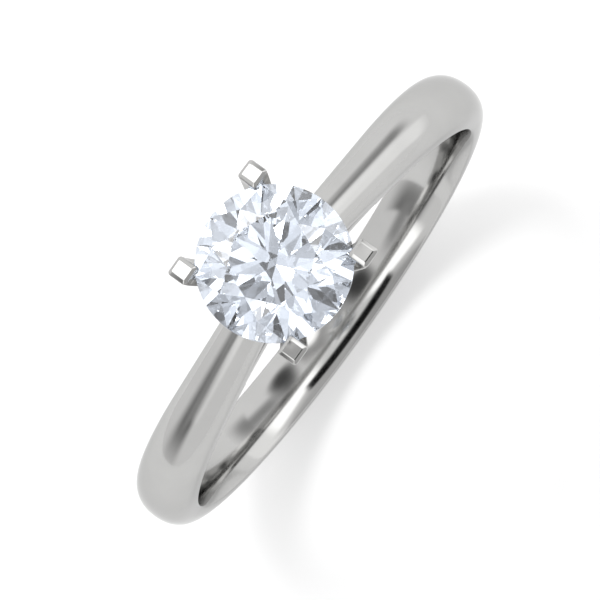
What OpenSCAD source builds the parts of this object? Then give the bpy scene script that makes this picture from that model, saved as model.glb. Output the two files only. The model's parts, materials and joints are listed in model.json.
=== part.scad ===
// Four-claw cathedral solitaire ring with a round brilliant, in millimetres.
// The origin is the centre of the finger hole. Y runs along the finger, Z up to the stone,
// and X across the hoop.

/* [Finger hole] */
// radius of the flat land in the middle of the finger hole
finger_r = 8.15; // [7.9:0.05:8.4]
// width of that flat land, along the finger
land_w = 0.9; // [0.7:0.05:1.1]
// radius of the rounding from the land out to each side of the band
comfort_r = 1.56; // [1.3:0.02:2.0]

/* [Band] */
// width of the band, at the bottom and the sides of the hoop
band_w = 2.3; // [2.2:0.02:2.36]
// height of the band's straight sides, outwards from the finger hole
side_h = 0.46; // [0.42:0.01:0.5]
// height of the domed face above the straight sides
dome_h = 0.98; // [0.94:0.01:1.02]
// distance from the centre at which the shoulders start to narrow
taper_x = 8.17; // [8.0:0.01:8.3]
// width the shoulders narrow towards, at the centre of the head
head_w = 1.27; // [1.2:0.01:1.34]

/* [Shoulders] */
// slope of the straight part of a shoulder, up to the head
arm_slope = 37.9; // [36.5:0.1:39.0]
// half the length of the gap under the head, which the bridge closes
gap_x = 3.7; // [3.5:0.1:3.9]
// height of the underside of a shoulder where it reaches the head
arm_under_z = 9.5; // [9.42:0.02:9.56]
// thickness of the bridge
bridge_t = 0.55; // [0.5:0.01:0.6]

/* [Head] */
// radius of the round base the claws stand on
base_r = 0.95; // [0.88:0.01:1.0]
// height of the top of the base
base_z = 9.2; // [9.1:0.02:9.3]
// radius of the peg below the base
peg_r = 0.4; // [0.3:0.02:0.42]
// play between the peg and its hole in the bridge
peg_play = 0.01; // [0.005:0.005:0.03]
// outer radius of the lower rail
low_rail_r = 1.52; // [1.48:0.01:1.6]
// outer radius of the upper rail
up_rail_r = 2.06; // [2.0:0.01:2.1]

/* [Diamond] */
// radius of the girdle
stone_r = 2.56; // [2.5:0.01:2.6]
// height of the lower edge of the girdle
girdle_z = 11.85; // [11.8:0.01:11.9]
// thickness of the girdle
girdle_t = 0.12; // [0.08:0.01:0.15]
// width of the table as a share of the girdle
table_share = 0.56; // [0.53:0.01:0.6]
// slope of the crown's main facets
crown_angle = 34.5; // [33:0.5:36]
// slope of the pavilion's main facets
pavilion_angle = 40.8; // [40.2:0.2:41.4]

/* [Hidden] */

side_r = finger_r + side_h;
bridge_r = finger_r + bridge_t;
comfort_c = finger_r + comfort_r;
// height of the point where the shoulder and the bridge part
fork_z = sqrt(bridge_r * bridge_r - gap_x * gap_x);
// inner limit of the shoulders, before they are hollowed to fit the lower rail
arm_end_x = 1.3;
// angles up the hoop at which a shoulder starts to narrow, and goes on straight to the head
narrow_at = acos(taper_x / side_r);
straight_at = 90 - arm_slope;
// depth of a shoulder's blank below the foot of its dome, past the finger hole
blank_d = 1.2;
shoulder_steps = 14;
// angle by which a shoulder's blank runs on into the hoop
lap = 1;
dome_steps = 9;
// a size larger than the whole ring, for cutting
far = 14;
// width of a cut that goes past both sides of the band
cut_w = 4;
// height inside the finger hole, where the cuts under the head start
hole_z = finger_r / 2;
low_rail_z = 9.86;
low_rail_t = 0.36;
low_rail_h = 0.42;
up_rail_z = 10.95;
up_rail_w = 0.34;
// gap between the stone and its seats
seat_gap = 0.01;
// gap between the upper rail and the pavilion
rail_gap = 0.05;
// the seat's outline above the girdle: how far in it goes, and its slope
seat_in = 1;
seat_slope = 0.88;
star_share = 0.768;
low_half_share = 0.23;
pav_k = tan(pavilion_angle);
culet_z = girdle_z - stone_r * pav_k;
top_z = girdle_z + girdle_t;
table_r = stone_r * table_share;
star_r = stone_r * star_share;
low_half_r = stone_r * low_half_share;
table_h = (stone_r - table_r) * tan(crown_angle);
star_h = table_h - (star_r * cos(22.5) - table_r) * tan(crown_angle);
low_half_h = (stone_r - low_half_r * cos(22.5)) * pav_k;

// levels of a claw: height, centre X, centre Y, half width along X, half width along Y
claw_levels = [
    [8.78, 0.60, 0.68, 0.24, 0.24],
    [10.10, 1.13, 1.30, 0.30, 0.30],
    [11.55, 1.72, 1.98, 0.35, 0.35],
    [12.15, 1.90, 2.19, 0.37, 0.37],
    [12.36, 1.905, 2.195, 0.35, 0.35],
    [12.52, 1.906, 2.193, 0.24, 0.18]
];

metal = [0.80, 0.80, 0.79];
ice = [0.88, 0.93, 0.98];

// inside limit of the band: a flat land rounded off towards both sides
module comfort_area() {
    translate([finger_r, -land_w / 2]) square([3, land_w]);
    for (s = [-1, 1]) translate([comfort_c, s * land_w / 2]) circle(r = comfort_r, $fn = 96);
}

// the finger hole, with its rounded edges
module finger_hole() {
    rotate([-90, 0, 0]) rotate_extrude($fn = 180) difference() {
        translate([0, -band_w]) square([comfort_c, 2 * band_w]);
        comfort_area();
    }
}

// section of the blank the band is made from, X outwards from the centre of the hole
module band_section() {
    for (s = [-1, 1]) translate([side_r, s * (band_w / 2 - dome_h)]) circle(r = dome_h, $fn = 96);
    translate([side_r, dome_h - band_w / 2]) square([dome_h, band_w - 2 * dome_h]);
    translate([side_r - blank_d, -band_w / 2]) square([blank_d, band_w]);
}

// bottom and sides of the hoop, which keep their full width
module hoop() {
    difference() {
        rotate([-90, 0, 0]) rotate_extrude($fn = 180) band_section();
        rotate([90, 0, 0]) linear_extrude(height = cut_w, center = true) polygon([
            [0, 0], far * [cos(narrow_at), sin(narrow_at)], [far, far], [-far, far],
            far * [-cos(narrow_at), sin(narrow_at)]]);
    }
}

// half the width of the shoulders and the bridge at a distance from the centre
function half_w(x) = (head_w + (band_w - head_w) * min(x / taper_x, 1)) / 2;

// foot of the dome at an angle up the hoop, and further on along the straight part
function foot(a, along = 0) = [side_r * cos(a) - along * cos(arm_slope),
    side_r * sin(a) + along * sin(arm_slope)];

// one section of a shoulder, square to its path: p is the foot of the dome, a its angle
function shoulder_ring(p, a) =
    let (w = half_w(p[0]), k = 2 * w / band_w, flat = band_w / 2 - dome_h)
    let (half = [for (i = [0:dome_steps])
        let (b = 90 * i / dome_steps) [k * (flat + dome_h * cos(b)), k * dome_h * sin(b)]])
    let (outline = concat([[w, -blank_d]], half,
        [for (i = [dome_steps:-1:0]) [-half[i][0], half[i][1]]], [[-w, -blank_d]]))
    [for (q = outline) [p[0] + q[1] * cos(a), q[0], p[1] + q[1] * sin(a)]];

// right shoulder: along the hoop at first, then straight up to the head
module shoulder() {
    start = narrow_at - lap;
    span = straight_at - start;
    arm_l = (foot(straight_at)[0] - arm_end_x / 2) / cos(arm_slope);
    rings = concat(
        [for (i = [0:shoulder_steps]) let (a = start + span * i / shoulder_steps)
            shoulder_ring(foot(a), a)],
        [shoulder_ring(foot(straight_at, arm_l), straight_at)]);
    m = len(rings);
    n = len(rings[0]);
    sides = [for (i = [0:m - 2]) for (k = [0:n - 1]) for (f = [
        [i * n + k, i * n + n + (k + 1) % n, i * n + n + k],
        [i * n + k, i * n + (k + 1) % n, i * n + n + (k + 1) % n]]) f];
    polyhedron(points = [for (r = rings) for (p = r) p], faces = concat(
        [[for (k = [n - 1:-1:0]) k]], sides, [[for (k = [0:n - 1]) (m - 1) * n + k]]));
}

// side walls of the bridge, narrowing to the centre of the head
module plan_taper() {
    linear_extrude(height = far) polygon([
        [-gap_x, -half_w(gap_x)], [0, -half_w(0)], [gap_x, -half_w(gap_x)],
        [gap_x, half_w(gap_x)], [0, half_w(0)], [-gap_x, half_w(gap_x)]]);
}

// opening left in the shank for the bridge, the windows and the head
module head_gap() {
    rotate([90, 0, 0]) linear_extrude(height = cut_w, center = true) polygon([
        [-gap_x, hole_z], [gap_x, hole_z], [gap_x, fork_z], [arm_end_x, arm_under_z],
        [arm_end_x, far], [-arm_end_x, far], [-arm_end_x, arm_under_z], [-gap_x, fork_z]]);
}

module shank() {
    color(metal) difference() {
        union() {
            hoop();
            shoulder();
            mirror([1, 0, 0]) shoulder();
        }
        finger_hole();
        head_gap();
        translate([0, 0, hole_z]) cylinder(r = low_rail_r, h = far - hole_z, $fn = 64);
    }
}

module bridge() {
    color(metal) difference() {
        intersection() {
            rotate([-90, 0, 0]) rotate_extrude($fn = 180) intersection() {
                comfort_area();
                translate([0, -cut_w / 2]) square([bridge_r, cut_w]);
            }
            plan_taper();
        }
        translate([0, 0, hole_z]) cylinder(r = peg_r + peg_play, h = base_z - hole_z, $fn = 48);
    }
}

module head_base() {
    color(metal) {
        difference() {
            translate([0, 0, hole_z]) cylinder(r = base_r, h = base_z - hole_z, $fn = 64);
            rotate([90, 0, 0]) cylinder(r = bridge_r, h = cut_w, center = true, $fn = 180);
        }
        difference() {
            translate([0, 0, hole_z]) cylinder(r = peg_r, h = base_z - hole_z, $fn = 48);
            rotate([90, 0, 0]) cylinder(r = finger_r, h = cut_w, center = true, $fn = 180);
        }
    }
}

module lower_rail() {
    color(metal) rotate_extrude($fn = 64) low_rail_section();
}

module low_rail_section() {
    translate([low_rail_r - low_rail_t, low_rail_z]) square([low_rail_t, low_rail_h]);
}

module upper_rail() {
    color(metal) rotate_extrude($fn = 64) up_rail_section();
}

function seat_z(r) = girdle_z - (stone_r - r) * pav_k - rail_gap;

module up_rail_section() {
    in_r = up_rail_r - up_rail_w;
    polygon([[in_r, up_rail_z], [up_rail_r, up_rail_z], [up_rail_r, seat_z(up_rail_r)],
        [in_r, seat_z(in_r)]]);
}

// the stone's outline turned about its axis, a little larger than the stone
module stone_seat() {
    r = stone_r + seat_gap;
    low = girdle_z - seat_gap;
    high = top_z + seat_gap;
    rotate_extrude($fn = 96) polygon([
        [0, low - r * pav_k], [r, low], [r, high],
        [r - seat_in, high + seat_in * seat_slope], [0, high + seat_in]]);
}

// four corners of one level of a claw
function ring4(v) = [
    [v[1] - v[3], v[2] - v[4], v[0]], [v[1] + v[3], v[2] - v[4], v[0]],
    [v[1] + v[3], v[2] + v[4], v[0]], [v[1] - v[3], v[2] + v[4], v[0]]];

module claw_blank() {
    n = len(claw_levels);
    pts = [for (v = claw_levels) for (p = ring4(v)) p];
    sides = [for (i = [0:n - 2]) for (k = [0:3])
        [4 * i + k, 4 * i + 4 + k, 4 * i + 4 + (k + 1) % 4, 4 * i + (k + 1) % 4]];
    polyhedron(points = pts, faces = concat([[0, 1, 2, 3]], sides,
        [[4 * n - 1, 4 * n - 2, 4 * n - 3, 4 * n - 4]]));
}

// one claw, on the +X +Y corner, let into the base, both rails and the girdle
module claw() {
    color(metal) difference() {
        claw_blank();
        translate([0, 0, hole_z]) cylinder(r = base_r, h = base_z - hole_z, $fn = 64);
        rotate_extrude($fn = 64) low_rail_section();
        rotate_extrude($fn = 64) up_rail_section();
        stone_seat();
    }
}

module claw_back_right() {
    claw();
}

module claw_back_left() {
    mirror([1, 0, 0]) claw();
}

module claw_front_right() {
    mirror([0, 1, 0]) claw();
}

module claw_front_left() {
    mirror([1, 0, 0]) mirror([0, 1, 0]) claw();
}

// a point at an angle, a radius and a height
function at(a, r, z) = [r * cos(a), r * sin(a), z];

// points: table 0-7, stars 8-15, girdle top 16-31, girdle bottom 32-47, pavilion 48-55, culet 56
module diamond() {
    pts = concat(
        [for (k = [0:7]) at(45 * k, table_r, top_z + table_h)],
        [for (k = [0:7]) at(45 * k + 22.5, star_r, top_z + star_h)],
        [for (k = [0:15]) at(22.5 * k, stone_r, top_z)],
        [for (k = [0:15]) at(22.5 * k, stone_r, girdle_z)],
        [for (k = [0:7]) at(45 * k + 22.5, low_half_r, girdle_z - low_half_h)],
        [[0, 0, culet_z]]);
    stars = [for (k = [0:7]) [k, (k + 1) % 8, 8 + k]];
    kites = [for (k = [0:7]) [k, 8 + k, 16 + 2 * k, 8 + (k + 7) % 8]];
    upper = [for (k = [0:7]) for (j = [0, 1])
        [8 + k, 16 + (2 * k + 1 + j) % 16, 16 + 2 * k + j]];
    girdle = [for (k = [0:15]) [16 + k, 16 + (k + 1) % 16, 32 + (k + 1) % 16, 32 + k]];
    lower = [for (k = [0:7]) for (j = [0, 1])
        [48 + k, 32 + 2 * k + j, 32 + (2 * k + 1 + j) % 16]];
    mains = [for (k = [0:7]) [56, 48 + (k + 7) % 8, 32 + 2 * k, 48 + k]];
    color(ice) polyhedron(points = pts, faces = concat([[7, 6, 5, 4, 3, 2, 1, 0]],
        stars, kites, upper, girdle, lower, mains));
}

shank();
bridge();
head_base();
lower_rail();
upper_rail();
claw_front_right();
claw_front_left();
claw_back_right();
claw_back_left();
diamond();
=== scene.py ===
import json
import math

import bmesh
import bpy
import numpy as np
from mathutils import Matrix, Vector


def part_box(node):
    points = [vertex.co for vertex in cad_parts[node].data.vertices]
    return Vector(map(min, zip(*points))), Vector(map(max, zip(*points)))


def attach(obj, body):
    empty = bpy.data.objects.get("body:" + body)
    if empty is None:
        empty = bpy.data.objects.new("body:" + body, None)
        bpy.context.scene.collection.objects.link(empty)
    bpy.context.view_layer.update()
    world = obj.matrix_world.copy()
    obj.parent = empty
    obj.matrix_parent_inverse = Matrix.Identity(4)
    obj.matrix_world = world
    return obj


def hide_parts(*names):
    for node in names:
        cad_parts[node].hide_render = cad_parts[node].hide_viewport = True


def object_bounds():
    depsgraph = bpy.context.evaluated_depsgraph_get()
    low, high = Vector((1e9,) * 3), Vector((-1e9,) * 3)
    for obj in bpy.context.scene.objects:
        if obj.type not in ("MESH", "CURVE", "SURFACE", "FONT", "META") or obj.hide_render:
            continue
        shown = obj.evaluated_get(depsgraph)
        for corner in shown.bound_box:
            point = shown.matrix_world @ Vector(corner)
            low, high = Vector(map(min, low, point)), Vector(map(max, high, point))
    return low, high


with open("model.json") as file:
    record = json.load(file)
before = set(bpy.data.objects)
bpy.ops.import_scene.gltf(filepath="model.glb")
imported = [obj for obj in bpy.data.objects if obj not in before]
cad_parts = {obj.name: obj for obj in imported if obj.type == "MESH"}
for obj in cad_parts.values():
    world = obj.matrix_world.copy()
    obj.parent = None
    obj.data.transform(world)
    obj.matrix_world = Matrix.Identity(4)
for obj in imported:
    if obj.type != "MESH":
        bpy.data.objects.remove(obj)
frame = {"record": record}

MM = 0.001
CAD_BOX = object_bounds()
scene = bpy.context.scene


def box_mm(node):
    low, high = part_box(node)
    return np.array(low) / MM, np.array(high) / MM


# ---------------------------------------------------------------- sizes, from the frame
FINGER_R = frame["record"]["mounts"][0]["dims"]["r_mm"]
SHANK_LOW, SHANK_HIGH = box_mm("shank")
BRIDGE_HIGH = box_mm("bridge")[1]
BASE_HIGH = box_mm("head_base")[1]
LOW_RAIL_LOW, LOW_RAIL_HIGH = box_mm("lower_rail")
UP_RAIL_LOW, UP_RAIL_HIGH = box_mm("upper_rail")
STONE_LOW, STONE_HIGH = box_mm("diamond")

CROWN_R = SHANK_HIGH[0]
BAND_HALF = (SHANK_HIGH[1] - SHANK_LOW[1]) / 2
BRIDGE_R = BRIDGE_HIGH[2]
GAP_X = BRIDGE_HIGH[0]
STONE_R = STONE_HIGH[0]
TABLE_Z = STONE_HIGH[2]
CULET_Z = STONE_LOW[2]

# ---------------------------------------------------------------- sizes of the band
SIDE_R = FINGER_R + 0.46  # where the sides end and the dome starts
DOME_H = CROWN_R - SIDE_R
DOME_POWER = 2.22
INSIDE_RISE = 0.17
INSIDE_POWER = 2.5
EDGE_SOFT = 0.05
HEAD_HALF = 0.635  # half the width that the shoulders aim for at the head's middle
TAPER_X = 8.17
TAPER_SOFT = 0.02
ARM_SLOPE = math.radians(37.9)
STRAIGHT_AT = math.pi / 2 - ARM_SLOPE
ARM_END_X = 1.3
ARM_UNDER_Z = 9.5
ARM_SPARE = 0.15  # how far past its end an arm is traced, before it is cut to length
ARM_DOME_SHARE = 0.6
TURN_UP = 40  # degrees up the hoop where sections start to lean to the vertical

# how the band is traced: rays around a section, their reach, how often it is halved, how much
# turning counts beside length, and the numbers of points and sections
TRACE_RAYS = 720
TRACE_REACH = 2.6
TRACE_HALVINGS = 40
TURN_WEIGHT = 0.25
SHANK_POINTS = 96
BRIDGE_POINTS = 64
BRIDGE_SECTIONS = 90
LEAN_SECTIONS = 30
ARM_SECTIONS = 40

# heights and half width of the opening cut under the shoulders, and heights of the room cut for
# the lower rail and of the peg's hole in the bridge
OPENING_BOTTOM = 3.0
OPENING_TOP = 14.0
OPENING_HALF = 2.0
RAIL_ROOM = (9.0, 12.0)
ROOM_STEPS = 96
PEG_HOLE = (7.0, 9.5)
CLEARANCE = 0.01

# ---------------------------------------------------------------- sizes of the head and stone
PEG_R = 0.4
PEG_STEPS = 48
BASE_SOFT = 0.08
BASE_RIM_POINTS = 6
BASE_STEPS = 72
BASE_ROOM_BOTTOM = 8.0
LOW_RAIL_WIRE = 0.36
LOW_RAIL_SOFT = 0.09
UP_RAIL_WIRE = 0.34
UP_RAIL_SOFT = 0.06
RAIL_STEPS = 120

CROWN_ANGLE = math.radians(34.5)
PAVILION_ANGLE = math.radians(40.8)
TABLE_SHARE = 0.56
STAR_SHARE = 0.768
LOW_HALF_SHARE = 0.23
GIRDLE_LOW = CULET_Z + STONE_R * math.tan(PAVILION_ANGLE)
TABLE_R = STONE_R * TABLE_SHARE
GIRDLE_TOP = TABLE_Z - (STONE_R - TABLE_R) * math.tan(CROWN_ANGLE)
STONE_STEPS = 128
ROD_SPARE = 0.1  # how much longer than the stone the rod is that it is cut from

# a claw's levels: height, centre X and Y, half widths along X and Y, corner radius
CLAW_LEVELS = [
    (8.78, 0.60, 0.68, 0.24, 0.24, 0.08),
    (10.10, 1.13, 1.30, 0.30, 0.30, 0.10),
    (11.40, 1.66, 1.91, 0.345, 0.345, 0.12),
    (11.75, 1.79, 2.06, 0.355, 0.355, 0.12),
    (12.05, 1.868, 2.150, 0.36, 0.36, 0.12),
    (12.30, 1.900, 2.188, 0.362, 0.362, 0.12),
    (12.385, 1.904, 2.192, 0.362, 0.362, 0.12),
    (12.410, 1.905, 2.193, 0.352, 0.352, 0.11),
    (12.422, 1.905, 2.193, 0.338, 0.338, 0.10),
    (12.495, 1.905, 2.193, 0.240, 0.270, 0.045),
    (12.505, 1.905, 2.193, 0.224, 0.258, 0.04),
    (12.5067, 1.905, 2.192, 0.220, 0.254, 0.035),
    (12.5076, 1.905, 2.190, 0.219, 0.250, 0.034),
    (12.5151, 1.905, 2.165, 0.218, 0.225, 0.03),
    (12.5152, 1.905, 2.161, 0.212, 0.219, 0.03),
]
CLAW_STEP = 0.12  # height between rings
CLAW_LEAN = math.radians(6.0)
LEAN_FROM = 12.3
LEAN_OVER = 0.08  # height over which the lean comes in

# edges sharper than this many degrees stay sharp
SHARP_METAL = 30.0
SHARP_FACETS = 1.0
MERGE_DISTANCE = 1e-8  # metres
CUT_DISTANCE = 1e-6  # millimetres

# ---------------------------------------------------------------- materials
METAL_TONES = ((0.3, (0.475, 0.473, 0.466, 1)), (0.7, (0.495, 0.493, 0.486, 1)))
METAL_EDGE_TINT = (0.75, 0.75, 0.75, 1)
METAL_ROUGHNESS = (0.08, 0.12)
WEAR_SCALE = 900.0
WEAR_DETAIL = 3.0
DIAMOND_TINT = (0.81, 0.88, 1.0, 1)
DIAMOND_IOR = 2.417
FLOOR_COLOR = (0.46, 0.46, 0.46, 1)
FLOOR_GLOW = 0.5
FLOOR_R = 0.08  # metres
FLOOR_STEPS = 96

# ---------------------------------------------------------------- the studio
# Tones of its parts. Left is -X, right is +X and the front is -Y.
TENT_LEFT = 1.06
TENT_RIGHT = 1.18
FRONT_LEFT = 0.58
FRONT_RIGHT = 0.7
OVERHEAD_LEFT = 0.65
OVERHEAD_RIGHT = 1.3
BEHIND = 0.5
BOX = 3.0
GLOW_RIGHT = 1.45
PANEL = 2.2
GAP_LEFT = 0.22
GAP_RIGHT = 0.5
SLIT = 0.4
STRIP = 0.0
BACKDROP = 1.0

# Where each part is, in the measures of Shade. A line of three fades in from its first value to
# its second, and a line of four lies between its first two values with edges of the third's
# softness. A part is where all of its lines hold. A tone with two values goes from its left to
# its right value over the line called ACROSS.
TENT_ACROSS = [("x", -0.6, 0.6)]
FRONT_ACROSS = [("side", -0.6, 0.4)]
OVERHEAD_ACROSS = [("x", -0.05, 0.05)]
FRONT_AREA = [("facing", 0.75, 1.0), ("back", -0.3, -0.6), ("up", 0.98, 0.85)]
OVERHEAD_AREA = [("up", 0.975, 0.992)]
BEHIND_AREA = [("back", 0.1, 0.4), ("up", 0.87, 0.99, 0.03)]
BOX_AREA = [("back", 0.88, 0.92), ("up", 0.5, 0.96, 0.02)]
GLOW_AREA = [("side", 0.7, 0.85), ("back", -0.53, 0.0, 0.06), ("up", -0.15, 0.3, 0.1)]
LEFT_PANEL_AREA = [
    ("side", -0.92, -0.96),
    ("back", -0.31, 0.09, 0.05),
    ("up", 0.26, 0.45),
    ("up", 0.97, 0.88),
]
RIGHT_PANEL_AREA = [
    ("side", 0.9, 0.95),
    ("back", -0.33, 0.08, 0.05),
    ("up", 0.22, 0.42),
    ("up", 0.95, 0.84),
]
LEFT_GAP_AREA = [
    ("side", -0.5, -0.7),
    ("back", 0.57, 0.2),
    ("back", -0.17, 0.08),
    ("up", -0.42, 0.29),
    ("up", 0.34, 0.29),
]
RIGHT_GAP_AREA = [
    ("side", 0.5, 0.7),
    ("back", 0.42, 0.22),
    ("back", 0.03, 0.17),
    ("up", -0.1, 0.2),
    ("up", 0.275, 0.235),
]
SLIT_AREA = [("either_side", 0.5, 0.7), ("back", 0.1, 0.22, 0.06), ("up", 0.15, 0.65, 0.15)]
STRIP_AREA = [("plane_y", -0.43, -0.2, 0.025), ("plane_x", 0.85, 0.72), ("up", 0.1, 0.3)]
LEAST_UP = 0.05  # keeps plane_x and plane_y finite
# azimuth, elevation, radius of the core and of the soft edge in degrees, and tone
HIGH_SPOTS = [
    (-114, 64, 1, 14, 0.07),
    (109, 46, 1, 14, 0.1),
    (142, 66, 3, 10, 2.2),
]

# ---------------------------------------------------------------- the camera, in metres and degrees
CAMERA_DISTANCE = 0.1
CAMERA_ELEVATION = 81.454
CAMERA_AZIMUTH = -8.188
CAMERA_ROLL = 46.037
CAMERA_LENS = 165.9
CAMERA_SENSOR = 36.0
CAMERA_CLIP = (0.005, 10.0)
CAMERA_LEFT = 0.000271
CAMERA_UP = 0.00037


# ---------------------------------------------------------------- mesh helpers
def new_piece(name, verts, faces, node, slot):
    """A mesh object from points in millimetres, riding on the ring and standing for a CAD node."""
    return finish_piece(raw_mesh(name, verts, faces), name, node, slot, SHARP_METAL)


def raw_mesh(name, verts, faces):
    mesh = bpy.data.meshes.new(name)
    mesh.from_pydata([tuple(float(c) * MM for c in v) for v in verts], [], faces)
    return mesh


def tidy_mesh(mesh, sharp):
    bm = bmesh.new()
    bm.from_mesh(mesh)
    bmesh.ops.remove_doubles(bm, verts=bm.verts, dist=MERGE_DISTANCE)
    bmesh.ops.recalc_face_normals(bm, faces=bm.faces)
    bm.to_mesh(mesh)
    bm.free()
    mesh.shade_smooth()
    mesh.set_sharp_from_angle(angle=math.radians(sharp))


def finish_piece(mesh, name, node, slot, sharp):
    tidy_mesh(mesh, sharp)
    obj = bpy.data.objects.new(name, mesh)
    scene.collection.objects.link(obj)
    obj.data.materials.append(MATERIALS[slot])
    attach(obj, "root")
    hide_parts(node)
    return obj


def on_circle(r, a):
    return (r * math.cos(a), r * math.sin(a))


def grid_faces(rings, points):
    """Quads between closed rings of points, with both ends closed."""
    faces = []
    for i in range(rings - 1):
        here, there = i * points, (i + 1) * points
        for k in range(points):
            n = (k + 1) % points
            faces.append((here + k, there + k, there + n, here + n))
    faces.append(tuple(range(points)))
    faces.append(tuple(reversed(range((rings - 1) * points, rings * points))))
    return faces


def spun(profile, steps):
    """Points of a profile of (radius, height) turned about Z."""
    verts = []
    for i in range(steps):
        a = 2 * math.pi * i / steps
        verts += [(r * math.cos(a), r * math.sin(a), z) for r, z in profile]
    return verts


def turned(profile, steps):
    """Points and faces of a closed profile of (radius, height) turned about Z."""
    n = len(profile)
    faces = []
    for i in range(steps):
        j = (i + 1) % steps
        for k in range(n):
            m = (k + 1) % n
            faces.append((i * n + k, i * n + m, j * n + m, j * n + k))
    return spun(profile, steps), faces


def column_faces(n, steps):
    """Faces of a turned shape with n points up its side, closed by one face at each end."""
    faces = []
    for i in range(steps):
        j = (i + 1) % steps
        faces += [(i * n + k, j * n + k, j * n + k + 1, i * n + k + 1) for k in range(n - 1)]
    faces.append(tuple(i * n for i in reversed(range(steps))))
    faces.append(tuple(i * n + n - 1 for i in range(steps)))
    return faces


def turned_solid(profile, steps):
    """Points and faces of an open profile of (radius, height), bottom to top, turned about Z."""
    return spun(profile, steps), column_faces(len(profile), steps)


def cylinder(radius, bottom, top, steps):
    return turned_solid([(radius, bottom), (radius, top)], steps)


def rounded_outline(corners, radius, steps=5):
    """A closed outline with its corners rounded, from a list of 2D corners in order."""
    points = []
    n = len(corners)
    for i, corner in enumerate(corners):
        c = Vector(corner)
        to_last = (Vector(corners[i - 1]) - c).normalized()
        to_next = (Vector(corners[(i + 1) % n]) - c).normalized()
        half = to_last.angle(to_next) / 2
        reach = radius / math.tan(half)
        start = c + to_last * reach
        end = c + to_next * reach
        centre = c + (to_last + to_next).normalized() * radius / math.sin(half)
        for k in range(steps + 1):
            mix = start.lerp(end, k / steps) - centre
            points.append(tuple(centre + mix.normalized() * radius))
    return points


def slab(outline, half_y):
    """A shape with an XZ outline, extruded along Y."""
    n = len(outline)
    verts = [(x, -half_y, z) for x, z in outline] + [(x, half_y, z) for x, z in outline]
    faces = [(k, (k + 1) % n, n + (k + 1) % n, n + k) for k in range(n)]
    faces += [tuple(range(n)), tuple(range(2 * n - 1, n - 1, -1))]
    return verts, faces


def cut(obj, verts, faces):
    """Takes a closed shape out of an object's mesh."""
    mesh = raw_mesh("cutter", verts, faces)
    tidy_mesh(mesh, SHARP_METAL)
    cutter = bpy.data.objects.new("cutter", mesh)
    scene.collection.objects.link(cutter)
    boolean = obj.modifiers.new("cut", "BOOLEAN")
    boolean.operation = "DIFFERENCE"
    boolean.solver = "EXACT"
    boolean.object = cutter
    graph = bpy.context.evaluated_depsgraph_get()
    done = bpy.data.meshes.new_from_object(obj.evaluated_get(graph))
    obj.modifiers.clear()
    old = obj.data
    obj.data = done
    bpy.data.meshes.remove(old)
    bpy.data.objects.remove(cutter)
    bpy.data.meshes.remove(mesh)
    tidy_mesh(obj.data, SHARP_METAL)


# ---------------------------------------------------------------- the band as a solid formula
def soft_max(a, b, k):
    return 0.5 * (a + b + np.sqrt((a - b) ** 2 + k * k))


def soft_min(a, b, k):
    return 0.5 * (a + b - np.sqrt((a - b) ** 2 + k * k))


def half_width(x):
    """Half the width of the band, which narrows to the head above."""
    tapered = HEAD_HALF + (BAND_HALF - HEAD_HALF) * x / TAPER_X
    return soft_min(tapered, BAND_HALF, TAPER_SOFT)


def inside_radius(y):
    """Radius of the finger hole across the band: nearly flat, and rounded off to both sides."""
    return FINGER_R + INSIDE_RISE * (np.abs(y) / BAND_HALF) ** INSIDE_POWER


def shank_outside(x, y, z):
    """How far a point is outside the shank's domed face and its sides.

    The foot of the dome follows the hoop, and goes on in a straight line to the head."""
    x = np.abs(x)
    angle = np.arctan2(z, x)
    line_h = x * math.sin(ARM_SLOPE) + z * math.cos(ARM_SLOPE) - SIDE_R
    on_hoop = angle < STRAIGHT_AT
    h = np.where(on_hoop, np.hypot(x, z) - SIDE_R, line_h)
    foot_x = np.where(on_hoop, SIDE_R * np.cos(angle), x - line_h * math.sin(ARM_SLOPE))
    half = np.where(z > 0, half_width(foot_x), BAND_HALF)
    across = (np.abs(y) / half) ** DOME_POWER
    up = (np.maximum(h, 0) / (DOME_H * half / BAND_HALF)) ** DOME_POWER
    return ((across + up) ** (1 / DOME_POWER) - 1) * half


def bridge_outside(x, y, z):
    """How far a point is outside the bridge's top and its sides."""
    top = np.hypot(x, z) - BRIDGE_R
    return soft_max(top, np.abs(y) - half_width(np.abs(x)), EDGE_SOFT)


def band_gap(x, y, z, outside):
    """How far a point is outside a piece of the band, whose inner face is the finger hole."""
    return soft_max(outside(x, y, z), inside_radius(y) - np.hypot(x, z), EDGE_SOFT)


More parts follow.
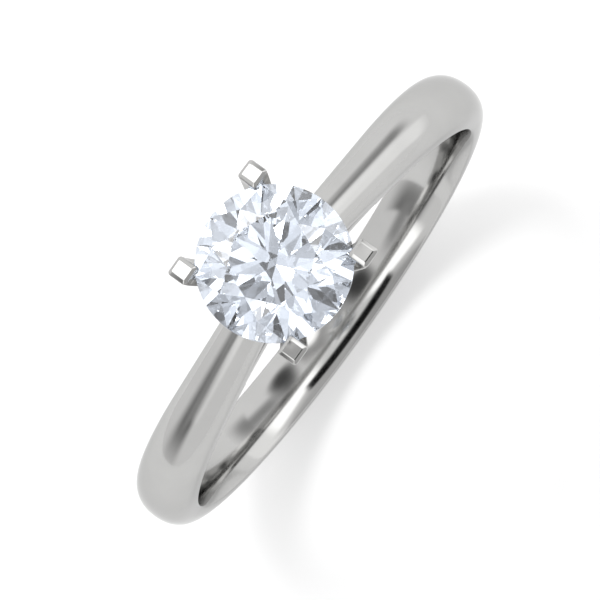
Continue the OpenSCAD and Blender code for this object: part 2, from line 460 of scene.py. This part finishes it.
def sections(feet, heads, outside, points):
    """Rings of points where the planes from foot to head (in XZ) cut the band.

    Each ring is found by going out from the section's middle until the formula reaches the
    surface. Its points are then shared out by length and by turning, so edges get more."""
    feet = np.asarray(feet, float)
    heads = np.asarray(heads, float)
    up = heads - feet
    tall = np.linalg.norm(up, axis=1, keepdims=True)
    up = up / tall
    mid = feet + up * tall * 0.5
    # each section's first ray points to its head, so that the rings' first points are in line
    angles = np.linspace(-math.pi, math.pi, TRACE_RAYS, endpoint=False) - math.pi / 2
    across = np.cos(angles)[None, :]
    along = np.sin(angles)[None, :]

    def at(reach):
        x = mid[:, :1] + reach * along * up[:, :1]
        z = mid[:, 1:] + reach * along * up[:, 1:]
        return x, reach * across, z

    near = np.zeros((len(feet), TRACE_RAYS))
    far = np.full((len(feet), TRACE_RAYS), TRACE_REACH)
    for _ in range(TRACE_HALVINGS):
        reach = (near + far) / 2
        out = band_gap(*at(reach), outside) > 0
        far = np.where(out, reach, far)
        near = np.where(out, near, reach)
    ring = np.stack(at(near), -1)

    step = np.roll(ring, -1, axis=1) - ring
    length = np.linalg.norm(step, axis=2)
    rise = step[..., 0] * up[:, :1] + step[..., 2] * up[:, 1:]
    heading = np.arctan2(rise, step[..., 1])
    change = np.roll(heading, -1, 1) - heading
    turn = np.abs((change + math.pi) % (2 * math.pi) - math.pi)
    share = length / length.sum(1, keepdims=True) + TURN_WEIGHT * turn
    # smoothed around the ring, so that the spacing changes gently
    share = (share + np.roll(share, 1, 1) + np.roll(share, -1, 1)) / 3
    goal = np.concatenate([np.zeros((len(feet), 1)), np.cumsum(share, 1)], 1)
    goal /= goal[:, -1:]
    where = np.linspace(0, 1, points, endpoint=False)
    closed = np.concatenate([ring, ring[:, :1]], 1)
    result = np.empty((len(feet), points, 3))
    for i in range(len(feet)):
        for c in range(3):
            result[i, :, c] = np.interp(where, goal[i], closed[i, :, c])
    return result


# ---------------------------------------------------------------- materials
def empty_material(name):
    """A material with only a Principled shader, wired to the output."""
    mat = bpy.data.materials.new(name)
    mat.use_nodes = True
    nt = mat.node_tree
    nt.nodes.clear()
    out = nt.nodes.new("ShaderNodeOutputMaterial")
    shader = nt.nodes.new("ShaderNodeBsdfPrincipled")
    nt.links.new(shader.outputs["BSDF"], out.inputs["Surface"])
    return mat, nt, shader


def socket_set(shader, **values):
    for key, value in values.items():
        shader.inputs[key.replace("_", " ")].default_value = value


def white_metal():
    """Mirror-polished white precious metal, with soft wear in its tone and gloss."""
    mat, nt, shader = empty_material("polished_metal")
    socket_set(shader, Metallic=1.0, Specular_Tint=METAL_EDGE_TINT)
    place = nt.nodes.new("ShaderNodeTexCoord")
    wear = nt.nodes.new("ShaderNodeTexNoise")
    socket_set(wear, Scale=WEAR_SCALE, Detail=WEAR_DETAIL)
    nt.links.new(place.outputs["Object"], wear.inputs["Vector"])
    tone = nt.nodes.new("ShaderNodeValToRGB")
    for stop, (position, color) in zip(tone.color_ramp.elements, METAL_TONES):
        stop.position = position
        stop.color = color
    nt.links.new(wear.outputs["Fac"], tone.inputs["Fac"])
    nt.links.new(tone.outputs["Color"], shader.inputs["Base Color"])
    gloss = nt.nodes.new("ShaderNodeMapRange")
    socket_set(gloss, To_Min=METAL_ROUGHNESS[0], To_Max=METAL_ROUGHNESS[1])
    nt.links.new(wear.outputs["Fac"], gloss.inputs["Value"])
    nt.links.new(gloss.outputs["Result"], shader.inputs["Roughness"])
    return mat


def diamond_glass():
    """Colourless diamond: clear, with diamond's refraction and a faint cool tint."""
    mat, nt, shader = empty_material("diamond")
    socket_set(shader, Metallic=0.0, Roughness=0.0, IOR=DIAMOND_IOR, Transmission_Weight=1.0,
               Base_Color=DIAMOND_TINT)
    return mat


def pale_floor():
    """A matt white sheet that glows a little, so that shadows on it stay pale."""
    mat, nt, shader = empty_material("floor")
    socket_set(shader, Base_Color=FLOOR_COLOR, Roughness=1.0, Specular_IOR_Level=0.0,
               Emission_Color=(1, 1, 1, 1), Emission_Strength=FLOOR_GLOW)
    return mat


MATERIALS = {"polished_metal": white_metal(), "diamond": diamond_glass()}


# ---------------------------------------------------------------- the band
def right_half_stations():
    """Feet and heads of the sections, from the hoop's bottom up to the right shoulder's end."""
    feet, heads = [], []
    for a in np.radians(np.arange(-90, TURN_UP, 1.0)):
        feet.append(on_circle(FINGER_R, a))
        heads.append(on_circle(CROWN_R, a))
    turn_up = math.radians(TURN_UP)
    foot_end = math.acos(GAP_X / FINGER_R)
    head_end = math.acos(GAP_X / CROWN_R)
    for t in np.linspace(0, 1, LEAN_SECTIONS, endpoint=False):
        feet.append(on_circle(FINGER_R, turn_up + (foot_end - turn_up) * t))
        heads.append(on_circle(CROWN_R, turn_up + (head_end - turn_up) * t))
    for x in np.linspace(GAP_X, ARM_END_X - ARM_SPARE, ARM_SECTIONS):
        foot = math.sqrt(FINGER_R ** 2 - x * x)
        arm_h = SIDE_R + DOME_H * ARM_DOME_SHARE - x * math.sin(ARM_SLOPE)
        feet.append((x, foot))
        heads.append((x, max(arm_h / math.cos(ARM_SLOPE), foot)))
    return feet, heads


def make_shank():
    feet, heads = right_half_stations()
    left_feet = [(-x, z) for x, z in feet[:0:-1]]
    left_heads = [(-x, z) for x, z in heads[:0:-1]]
    rings = sections(left_feet + feet, left_heads + heads, shank_outside, SHANK_POINTS)
    obj = new_piece("shank_polished", rings.reshape(-1, 3), grid_faces(len(rings), SHANK_POINTS),
                    "shank", "polished_metal")
    fork_z = math.sqrt(BRIDGE_R ** 2 - GAP_X ** 2)
    opening = [
        (-GAP_X, OPENING_BOTTOM),
        (GAP_X, OPENING_BOTTOM),
        (GAP_X, fork_z),
        (ARM_END_X, ARM_UNDER_Z),
        (ARM_END_X, OPENING_TOP),
        (-ARM_END_X, OPENING_TOP),
        (-ARM_END_X, ARM_UNDER_Z),
        (-GAP_X, fork_z),
    ]
    cut(obj, *slab(opening, OPENING_HALF))
    cut(obj, *cylinder(LOW_RAIL_HIGH[0], *RAIL_ROOM, ROOM_STEPS))


def make_bridge():
    xs = np.linspace(-GAP_X, GAP_X, BRIDGE_SECTIONS)
    feet = [(x, math.sqrt(FINGER_R ** 2 - x * x)) for x in xs]
    heads = [(x, math.sqrt(BRIDGE_R ** 2 - x * x)) for x in xs]
    rings = sections(feet, heads, bridge_outside, BRIDGE_POINTS)
    obj = new_piece("bridge_polished", rings.reshape(-1, 3), grid_faces(len(rings), BRIDGE_POINTS),
                    "bridge", "polished_metal")
    cut(obj, *cylinder(PEG_R + CLEARANCE, *PEG_HOLE, PEG_STEPS))


# ---------------------------------------------------------------- the head
def make_base():
    """Round foot of the head, on the bridge, with the peg that ends flush in the finger hole."""
    r, top = BASE_HIGH[0], BASE_HIGH[2]
    rim = [(r - BASE_SOFT + BASE_SOFT * math.sin(a), top - BASE_SOFT + BASE_SOFT * math.cos(a))
           for a in np.linspace(math.pi / 2, 0, BASE_RIM_POINTS)]
    side = [(PEG_R, FINGER_R), (PEG_R, BRIDGE_R), (r, BRIDGE_R)]
    verts = []
    for i in range(BASE_STEPS):
        a = 2 * math.pi * i / BASE_STEPS
        c, s = math.cos(a), math.sin(a)
        verts += [(out * c, out * s, math.sqrt(arc ** 2 - (out * c) ** 2)) for out, arc in side]
        verts += [(out * c, out * s, z) for out, z in rim]
    faces = column_faces(len(side) + len(rim), BASE_STEPS)
    new_piece("head_base_polished", verts, faces, "head_base", "polished_metal")


def lower_rail_outline():
    inner = LOW_RAIL_HIGH[0] - LOW_RAIL_WIRE
    return [(inner, LOW_RAIL_LOW[2]), (LOW_RAIL_HIGH[0], LOW_RAIL_LOW[2]),
            (LOW_RAIL_HIGH[0], LOW_RAIL_HIGH[2]), (inner, LOW_RAIL_HIGH[2])]


def upper_rail_outline():
    """The rail's top slopes with the stone's pavilion, which rests on it."""
    outer = UP_RAIL_HIGH[0]
    inner = outer - UP_RAIL_WIRE
    fall = UP_RAIL_WIRE * math.tan(PAVILION_ANGLE)
    return [(inner, UP_RAIL_LOW[2]), (outer, UP_RAIL_LOW[2]), (outer, UP_RAIL_HIGH[2]),
            (inner, UP_RAIL_HIGH[2] - fall)]


def make_rail(name, outline, node, soft):
    verts, faces = turned(rounded_outline(outline, soft), RAIL_STEPS)
    new_piece(name, verts, faces, node, "polished_metal")


def claw_ring(level):
    """One rounded square of a claw. The tip's levels lean outwards a little."""
    z, cx, cy, hx, hy, soft = level
    corners = [(cx - hx, cy - hy), (cx + hx, cy - hy), (cx + hx, cy + hy), (cx - hx, cy + hy)]
    lean = math.tan(CLAW_LEAN) * min(max((z - LEAN_FROM) / LEAN_OVER, 0), 1)
    return [(x, y, z - lean * (y - cy + 0.5 * (x - cx))) for x, y in rounded_outline(corners, soft)]


def claw_mesh():
    rings = []
    for low, high in zip(CLAW_LEVELS, CLAW_LEVELS[1:]):
        steps = max(1, round((high[0] - low[0]) / CLAW_STEP))
        for k in range(steps):
            rings.append(claw_ring(np.array(low) + (np.array(high) - np.array(low)) * k / steps))
    rings.append(claw_ring(CLAW_LEVELS[-1]))
    verts = [p for ring in rings for p in ring]
    return verts, grid_faces(len(rings), len(rings[0]))


def stone_room():
    """Half outline of the room that the stone takes, a little larger than the stone."""
    tip_r, crown_in, crown_up = 0.02, 1, 0.88
    r = STONE_R + CLEARANCE
    low = GIRDLE_LOW - CLEARANCE
    high = GIRDLE_TOP + CLEARANCE
    return [(tip_r, low - (r - tip_r) * math.tan(PAVILION_ANGLE)), (r, low), (r, high),
            (r - crown_in, high + crown_up)]


def make_claws():
    """One claw, notched for the stone, the base and the rails, and its three mirror images."""
    verts, faces = claw_mesh()
    first = new_piece("claw_back_right_polished", verts, faces, "claw_back_right", "polished_metal")
    cut(first, *turned_solid(stone_room(), STONE_STEPS))
    cut(first, *cylinder(BASE_HIGH[0], BASE_ROOM_BOTTOM, BASE_HIGH[2], BASE_STEPS))
    cut(first, *turned(lower_rail_outline(), RAIL_STEPS))
    cut(first, *turned(upper_rail_outline(), RAIL_STEPS))
    for name, flip_x, flip_y in (("claw_back_left", -1, 1), ("claw_front_right", 1, -1),
                                 ("claw_front_left", -1, -1)):
        mesh = first.data.copy()
        mesh.transform(Matrix.Diagonal((flip_x, flip_y, 1, 1)))
        finish_piece(mesh, name + "_polished", name, "polished_metal", SHARP_METAL)


# ---------------------------------------------------------------- the stone
def facet_planes():
    """A point and an outward normal for each of the brilliant's flat facets."""
    def at(degrees, r, z):
        a = math.radians(degrees)
        return Vector((r * math.cos(a), r * math.sin(a), z))

    step, half_step = 45, 22.5
    half = math.cos(math.radians(half_step))
    star_r = STONE_R * STAR_SHARE
    star_z = TABLE_Z - (star_r * half - TABLE_R) * math.tan(CROWN_ANGLE)
    deep_r = STONE_R * LOW_HALF_SHARE
    deep_z = GIRDLE_LOW - (STONE_R - deep_r * half) * math.tan(PAVILION_ANGLE)
    culet = Vector((0, 0, CULET_Z))
    triples = []
    for k in range(8):
        a = step * k
        star = at(a + half_step, star_r, star_z)
        last_star = at(a - half_step, star_r, star_z)
        deep = at(a + half_step, deep_r, deep_z)
        last_deep = at(a - half_step, deep_r, deep_z)
        table = at(a, TABLE_R, TABLE_Z)
        triples.append((table, last_star, star))
        triples.append((table, at(a + step, TABLE_R, TABLE_Z), star))
        triples.append((culet, last_deep, deep))
        for b in (a, a + step):
            for inner, z in ((star, GIRDLE_TOP), (deep, GIRDLE_LOW)):
                triples.append((inner, at(b, STONE_R, z), at(a + half_step, STONE_R, z)))
    heart = Vector((0, 0, (GIRDLE_LOW + GIRDLE_TOP) / 2))
    planes = [(Vector((0, 0, TABLE_Z)), Vector((0, 0, 1)))]
    for p, q, r in triples:
        normal = (q - p).cross(r - p).normalized()
        if normal.dot(p - heart) < 0:
            normal = -normal
        planes.append((p, normal))
    return planes


def make_diamond():
    """A round rod cut by each facet's plane, which leaves the girdle its true scalloped edges."""
    verts, faces = cylinder(STONE_R, CULET_Z - ROD_SPARE, TABLE_Z + ROD_SPARE, STONE_STEPS)
    mesh = bpy.data.meshes.new("rod")
    mesh.from_pydata(verts, [], faces)
    bm = bmesh.new()
    bm.from_mesh(mesh)
    bmesh.ops.recalc_face_normals(bm, faces=bm.faces)
    for point, normal in facet_planes():
        geom = bm.verts[:] + bm.edges[:] + bm.faces[:]
        done = bmesh.ops.bisect_plane(bm, geom=geom, dist=CUT_DISTANCE, plane_co=point,
                                      plane_no=normal, clear_outer=True)
        edges = [e for e in done["geom_cut"] if isinstance(e, bmesh.types.BMEdge)]
        if edges:
            bmesh.ops.contextual_create(bm, geom=edges)
    bmesh.ops.scale(bm, vec=(MM, MM, MM), verts=bm.verts)
    bm.to_mesh(mesh)
    bm.free()
    obj = finish_piece(mesh, "diamond_brilliant", "diamond", "diamond", SHARP_FACETS)
    for face in obj.data.polygons:
        face.use_smooth = False


make_shank()
make_bridge()
make_base()
make_rail("lower_rail_polished", lower_rail_outline(), "lower_rail", LOW_RAIL_SOFT)
make_rail("upper_rail_polished", upper_rail_outline(), "upper_rail", UP_RAIL_SOFT)
make_claws()
make_diamond()


# ---------------------------------------------------------------- floor, light and camera
def make_floor():
    z = CAD_BOX[0][2]
    mesh = bpy.data.meshes.new("floor")
    verts = [(*on_circle(FLOOR_R, 2 * math.pi * k / FLOOR_STEPS), z) for k in range(FLOOR_STEPS)]
    mesh.from_pydata(verts, [], [tuple(range(FLOOR_STEPS))])
    floor = bpy.data.objects.new("floor", mesh)
    scene.collection.objects.link(floor)
    mesh.materials.append(pale_floor())


def direction(azimuth, elevation):
    a, e = math.radians(azimuth), math.radians(elevation)
    return Vector((math.sin(a) * math.cos(e), -math.cos(a) * math.cos(e), math.sin(e)))


def soft_lamp(name, azimuth, elevation, distance, size, watts):
    """A disk of light facing the ring, which the metal doesn't mirror."""
    data = bpy.data.lights.new(name, "AREA")
    data.shape = "DISK"
    data.size = size
    data.energy = watts
    lamp = bpy.data.objects.new(name, data)
    scene.collection.objects.link(lamp)
    back = direction(azimuth, elevation)
    lamp.location = back * distance
    lamp.rotation_euler = back.to_track_quat("Z", "Y").to_euler()
    lamp.visible_glossy = False


class Shade:
    """Tone arithmetic on the direction that a ray goes to.

    Its measures: x and up are the direction's parts along X and Z. side and back are its parts
    along X and Y once it is laid flat, and either_side is side without its sign. facing is up
    less back. plane_x and plane_y say where it meets a level plane one unit up, plane_x
    without its sign."""

    def __init__(self, nt):
        self.nt = nt
        place = nt.nodes.new("ShaderNodeTexCoord")
        self.way = place.outputs["Generated"]
        split = nt.nodes.new("ShaderNodeSeparateXYZ")
        nt.links.new(self.way, split.inputs[0])
        x, y, up = split.outputs
        squares = self.maths("ADD", self.maths("MULTIPLY", x, x), self.maths("MULTIPLY", y, y))
        level = self.maths("SQRT", squares)
        side = self.maths("DIVIDE", x, level)
        back = self.maths("DIVIDE", y, level)
        some_up = self.maths("MAXIMUM", up, LEAST_UP)
        self.measures = {
            "x": x,
            "up": up,
            "side": side,
            "back": back,
            "facing": self.maths("SUBTRACT", up, back),
            "either_side": self.maths("ABSOLUTE", side),
            "plane_x": self.maths("ABSOLUTE", self.maths("DIVIDE", x, some_up)),
            "plane_y": self.maths("DIVIDE", y, some_up),
        }

    def put(self, socket, value):
        if isinstance(value, (int, float)):
            socket.default_value = value
        else:
            self.nt.links.new(value, socket)

    def maths(self, operation, *values):
        node = self.nt.nodes.new("ShaderNodeMath")
        node.operation = operation
        for socket, value in zip(node.inputs, values):
            self.put(socket, value)
        return node.outputs[0]

    def ease(self, value, start, end):
        """0 before start, 1 beyond end, and a soft step between."""
        node = self.nt.nodes.new("ShaderNodeMapRange")
        node.interpolation_type = "SMOOTHSTEP"
        self.put(node.inputs["Value"], value)
        flip = start > end
        node.inputs["From Min"].default_value = end if flip else start
        node.inputs["From Max"].default_value = start if flip else end
        node.inputs["To Min"].default_value = 1.0 if flip else 0.0
        node.inputs["To Max"].default_value = 0.0 if flip else 1.0
        return node.outputs["Result"]

    def both(self, *masks):
        result = masks[0]
        for mask in masks[1:]:
            result = self.maths("MULTIPLY", result, mask)
        return result

    def window(self, value, low, high, soft):
        """1 between low and high, with soft edges."""
        return self.both(self.ease(value, low - soft, low + soft),
                         self.ease(value, high + soft, high - soft))

    def area(self, lines):
        """The mask of a part of the studio, from its lines."""
        masks = []
        for measure, *values in lines:
            shape = self.window if len(values) == 3 else self.ease
            masks.append(shape(self.measures[measure], *values))
        return self.both(*masks)

    def spot(self, azimuth, elevation, core, edge):
        """1 within core degrees of a direction, falling to 0 at edge degrees."""
        dot = self.nt.nodes.new("ShaderNodeVectorMath")
        dot.operation = "DOT_PRODUCT"
        self.nt.links.new(self.way, dot.inputs[0])
        dot.inputs[1].default_value = direction(azimuth, elevation)
        cosine = [math.cos(math.radians(angle)) for angle in (edge, core)]
        return self.ease(dot.outputs["Value"], *cosine)

    def mix(self, tone, mask, target):
        """Moves a tone to a target where the mask is 1."""
        node = self.nt.nodes.new("ShaderNodeMix")
        self.put(node.inputs["Factor"], mask)
        self.put(node.inputs["A"], tone)
        self.put(node.inputs["B"], target)
        return node.outputs["Result"]


def studio_world():
    """A pale studio tent: darker in front, white panels to both sides, a black strip overhead."""
    world = bpy.data.worlds.new("studio")
    scene.world = world
    world.use_nodes = True
    nt = world.node_tree
    nt.nodes.clear()
    out = nt.nodes.new("ShaderNodeOutputWorld")
    sky = nt.nodes.new("ShaderNodeBackground")
    nt.links.new(sky.outputs[0], out.inputs[0])
    do = Shade(nt)

    tone = do.mix(TENT_LEFT, do.area(TENT_ACROSS), TENT_RIGHT)
    front = do.mix(FRONT_LEFT, do.area(FRONT_ACROSS), FRONT_RIGHT)
    tone = do.mix(tone, do.area(FRONT_AREA), front)
    overhead = do.mix(OVERHEAD_LEFT, do.area(OVERHEAD_ACROSS), OVERHEAD_RIGHT)
    tone = do.mix(tone, do.area(OVERHEAD_AREA), overhead)
    tone = do.mix(tone, do.area(BEHIND_AREA), BEHIND)
    tone = do.mix(tone, do.area(BOX_AREA), BOX)
    for azimuth, elevation, core, edge, depth in HIGH_SPOTS:
        tone = do.mix(tone, do.spot(azimuth, elevation, core, edge), depth)
    tone = do.mix(tone, do.area(GLOW_AREA), GLOW_RIGHT)
    panels = do.maths("MAXIMUM", do.area(LEFT_PANEL_AREA), do.area(RIGHT_PANEL_AREA))
    tone = do.mix(tone, panels, PANEL)
    tone = do.mix(tone, do.area(LEFT_GAP_AREA), GAP_LEFT)
    tone = do.mix(tone, do.area(RIGHT_GAP_AREA), GAP_RIGHT)
    tone = do.mix(tone, do.area(SLIT_AREA), SLIT)
    tone = do.mix(tone, do.area(STRIP_AREA), STRIP)

    # what is behind the ring is a plain backdrop
    seen = nt.nodes.new("ShaderNodeLightPath")
    tone = do.mix(tone, seen.outputs["Is Camera Ray"], BACKDROP)
    grey = nt.nodes.new("ShaderNodeCombineColor")
    for channel in grey.inputs:
        nt.links.new(tone, channel)
    nt.links.new(grey.outputs[0], sky.inputs["Color"])


def make_camera():
    """It looks down from a little in front, rolled so that the band runs up to the right."""
    roll = math.radians(CAMERA_ROLL)
    turn = math.radians(CAMERA_AZIMUTH)
    data = bpy.data.cameras.new("camera")
    data.sensor_width = CAMERA_SENSOR
    data.lens = CAMERA_LENS
    data.clip_start, data.clip_end = CAMERA_CLIP
    camera = bpy.data.objects.new("camera", data)
    scene.collection.objects.link(camera)
    back = direction(CAMERA_AZIMUTH, CAMERA_ELEVATION)
    right = Vector((math.cos(turn), math.sin(turn), 0))
    up = back.cross(right)
    place = back * CAMERA_DISTANCE - right * CAMERA_LEFT + up * CAMERA_UP
    side = right * math.cos(roll) - up * math.sin(roll)
    above = right * math.sin(roll) + up * math.cos(roll)
    facing = Matrix((side, above, back)).transposed()
    camera.matrix_world = Matrix.Translation(place) @ facing.to_4x4()
    scene.camera = camera


make_floor()
soft_lamp("key", azimuth=180, elevation=63, distance=0.25, size=0.07, watts=0.28)
studio_world()
make_camera()
scene.view_settings.view_transform = "Standard"
# enough bounces for light to find its way through the stone, and no noisy caustics
scene.cycles.max_bounces = 24
scene.cycles.transmission_bounces = 20
scene.cycles.glossy_bounces = 12
scene.cycles.caustics_reflective = False
scene.cycles.caustics_refractive = False
